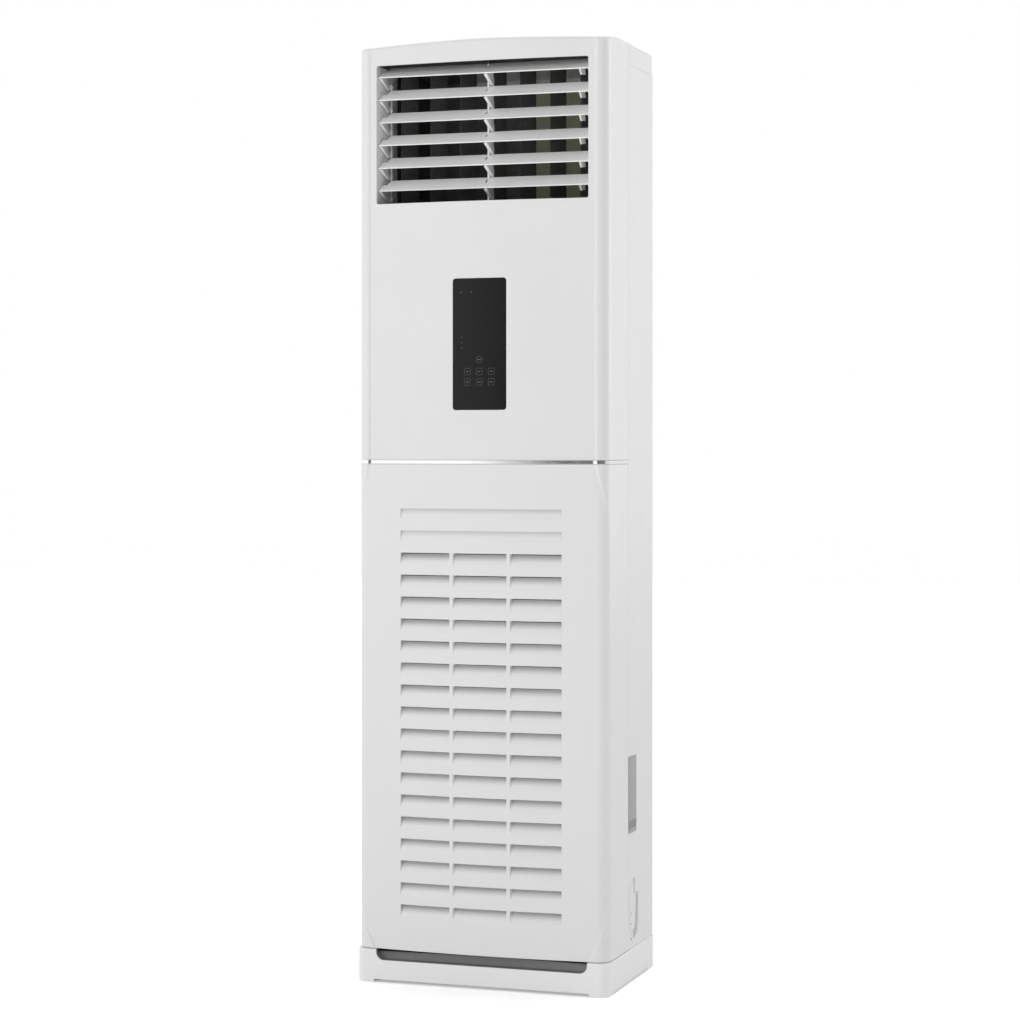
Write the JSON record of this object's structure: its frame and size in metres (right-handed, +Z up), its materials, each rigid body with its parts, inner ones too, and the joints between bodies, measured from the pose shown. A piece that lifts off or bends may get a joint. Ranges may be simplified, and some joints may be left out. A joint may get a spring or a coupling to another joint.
{
  "type": "floor standing air conditioner",
  "caption": "Tall floor standing cabinet air conditioner with a louvered outlet at the top, a black display and a slotted intake panel.",
  "frame": {"origin": "middle of the footprint, on the floor", "axes": "X to the right, the front faces -Y, Z up"},
  "size_m": [0.494, 0.314, 1.766],
  "materials": {
    "white_plastic": "moulded white plastic, satin gloss",
    "base_plastic": "moulded off-white plastic",
    "painted_steel": "white powder coat",
    "chrome_trim": "bright plated strip",
    "display_glass": "black gloss window",
    "louver_plastic": "white louver plastic",
    "black_plastic": "black plastic",
    "grey_plastic": "dark grey plastic",
    "galvanised_steel": "zinc coated sheet",
    "machined_steel": "machined steel",
    "aluminium_fins": "bright aluminium fins",
    "copper_pipe": "copper tube",
    "foam": "white foamed plastic",
    "rubber": "black rubber",
    "circuit_board": "green circuit board",
    "filter_mesh": "dark grey filter net",
    "plate_foil": "grey foil plate, bare",
    "hose_plastic": "pale grey hose"
  },
  "bodies": {
    "cabinet": {"base_plinth": "base_plastic", "foot_front_left": "rubber", "foot_front_right": "rubber", "foot_rear_left": "rubber", "foot_rear_right": "rubber", "upper_front_panel": "white_plastic", "pipe_cover_right": "white_plastic", "pipe_cover_left": "white_plastic", "trim_strip": "chrome_trim", "display_window": "display_glass", "display_board": "circuit_board", "control_board": "circuit_board", "side_panel_right": "painted_steel", "side_panel_left": "painted_steel", "back_panel": "painted_steel", "top_cover": "painted_steel", "rating_plate": "plate_foil", "cable_gland": "black_plastic", "terminal_block": "black_plastic", "louver_motor": "grey_plastic", "vane_motor": "grey_plastic", "louver_frame": "grey_plastic", "outlet_duct": "foam", "drain_pan": "foam", "scroll_housing": "galvanised_steel", "inlet_ring": "galvanised_steel", "motor_bracket": "galvanised_steel", "divider_shelf": "galvanised_steel", "coil_cover": "galvanised_steel", "coil_end_right": "galvanised_steel", "coil_end_left": "galvanised_steel", "electrical_box": "galvanised_steel", "electrical_box_lid": "galvanised_steel", "fan_motor": "machined_steel", "drain_hose": "hose_plastic", "evaporator_core": "aluminium_fins", "suction_pipe": "copper_pipe", "liquid_pipe": "copper_pipe"},
    "fan": {"fan_impeller": "grey_plastic", "fan_shaft": "machined_steel", "fan_nut": "machined_steel"},
    "lower_panel": {"lower_front_panel": "white_plastic", "air_filter": "filter_mesh"},
    "louver_bar": {"louver_link": "louver_plastic"},
    "vane_bar": {"vane_link": "black_plastic"},
    "louver_1_body": {"louver_1": "louver_plastic"},
    "louver_2_body": {"louver_2": "louver_plastic"},
    "louver_3_body": {"louver_3": "louver_plastic"},
    "louver_4_body": {"louver_4": "louver_plastic"},
    "louver_5_body": {"louver_5": "louver_plastic"},
    "louver_6_body": {"louver_6": "louver_plastic"},
    "vane_1_body": {"vane_1": "black_plastic"},
    "vane_2_body": {"vane_2": "black_plastic"},
    "vane_3_body": {"vane_3": "black_plastic"},
    "vane_4_body": {"vane_4": "black_plastic"},
    "vane_5_body": {"vane_5": "black_plastic"},
    "vane_6_body": {"vane_6": "black_plastic"},
    "vane_7_body": {"vane_7": "black_plastic"}
  },
  "joints": [
    {"name": "fan_spin", "type": "hinge", "parent": "cabinet", "child": "fan", "pos_m": [0, 0.014, 0.33], "axis": [0, 1, 0], "continuous": true},
    {"name": "lower_panel_pull", "type": "slide", "parent": "cabinet", "child": "lower_panel", "axis": [0, -1, 0], "range_m": [0, 0.04]},
    {"name": "louver_1_swing", "type": "hinge", "parent": "cabinet", "child": "louver_1_body", "pos_m": [0, -0.092, 1.6865], "axis": [1, 0, 0], "range_deg": [-28, 25]},
    {"name": "louver_2_swing", "type": "hinge", "parent": "cabinet", "child": "louver_2_body", "pos_m": [0, -0.092, 1.6438], "axis": [1, 0, 0], "range_deg": [-28, 25]},
    {"name": "louver_3_swing", "type": "hinge", "parent": "cabinet", "child": "louver_3_body", "pos_m": [0, -0.092, 1.6011], "axis": [1, 0, 0], "range_deg": [-28, 25]},
    {"name": "louver_4_swing", "type": "hinge", "parent": "cabinet", "child": "louver_4_body", "pos_m": [0, -0.092, 1.5584], "axis": [1, 0, 0], "range_deg": [-28, 25]},
    {"name": "louver_5_swing", "type": "hinge", "parent": "cabinet", "child": "louver_5_body", "pos_m": [0, -0.092, 1.5157], "axis": [1, 0, 0], "range_deg": [-28, 25]},
    {"name": "louver_6_swing", "type": "hinge", "parent": "cabinet", "child": "louver_6_body", "pos_m": [0, -0.092, 1.473], "axis": [1, 0, 0], "range_deg": [-28, 25]},
    {"name": "louver_bar_pivot", "type": "hinge", "parent": "louver_1_body", "child": "louver_bar", "pos_m": [-0.202, -0.082, 1.6905], "axis": [1, 0, 0], "range_deg": [-25, 28]},
    {"name": "vane_1_swing", "type": "hinge", "parent": "cabinet", "child": "vane_1_body", "pos_m": [-0.1785, -0.048, 1.59], "axis": [0, 0, 1], "range_deg": [-18, 52]},
    {"name": "vane_2_swing", "type": "hinge", "parent": "cabinet", "child": "vane_2_body", "pos_m": [-0.119, -0.048, 1.59], "axis": [0, 0, 1], "range_deg": [-18, 52]},
    {"name": "vane_3_swing", "type": "hinge", "parent": "cabinet", "child": "vane_3_body", "pos_m": [-0.0595, -0.048, 1.59], "axis": [0, 0, 1], "range_deg": [-18, 52]},
    {"name": "vane_4_swing", "type": "hinge", "parent": "cabinet", "child": "vane_4_body", "pos_m": [0, -0.048, 1.59], "axis": [0, 0, 1], "range_deg": [-18, 52]},
    {"name": "vane_5_swing", "type": "hinge", "parent": "cabinet", "child": "vane_5_body", "pos_m": [0.0595, -0.048, 1.59], "axis": [0, 0, 1], "range_deg": [-18, 52]},
    {"name": "vane_6_swing", "type": "hinge", "parent": "cabinet", "child": "vane_6_body", "pos_m": [0.119, -0.048, 1.59], "axis": [0, 0, 1], "range_deg": [-18, 52]},
    {"name": "vane_7_swing", "type": "hinge", "parent": "cabinet", "child": "vane_7_body", "pos_m": [0.1785, -0.048, 1.59], "axis": [0, 0, 1], "range_deg": [-18, 52]},
    {"name": "vane_bar_pivot", "type": "hinge", "parent": "vane_4_body", "child": "vane_bar", "pos_m": [0.00526, -0.03079, 1.4685], "axis": [0, 0, 1], "range_deg": [-52, 18]}
  ],
  "couplings": [
    {"joint": "louver_2_swing", "follows": "louver_1_swing", "ratio": 1},
    {"joint": "louver_3_swing", "follows": "louver_1_swing", "ratio": 1},
    {"joint": "louver_4_swing", "follows": "louver_1_swing", "ratio": 1},
    {"joint": "louver_5_swing", "follows": "louver_1_swing", "ratio": 1},
    {"joint": "louver_6_swing", "follows": "louver_1_swing", "ratio": 1},
    {"joint": "louver_bar_pivot", "follows": "louver_1_swing", "ratio": -1},
    {"joint": "vane_1_swing", "follows": "vane_4_swing", "ratio": 1},
    {"joint": "vane_2_swing", "follows": "vane_4_swing", "ratio": 1},
    {"joint": "vane_3_swing", "follows": "vane_4_swing", "ratio": 1},
    {"joint": "vane_5_swing", "follows": "vane_4_swing", "ratio": 1},
    {"joint": "vane_6_swing", "follows": "vane_4_swing", "ratio": 1},
    {"joint": "vane_7_swing", "follows": "vane_4_swing", "ratio": 1},
    {"joint": "vane_bar_pivot", "follows": "vane_4_swing", "ratio": -1}
  ]
}
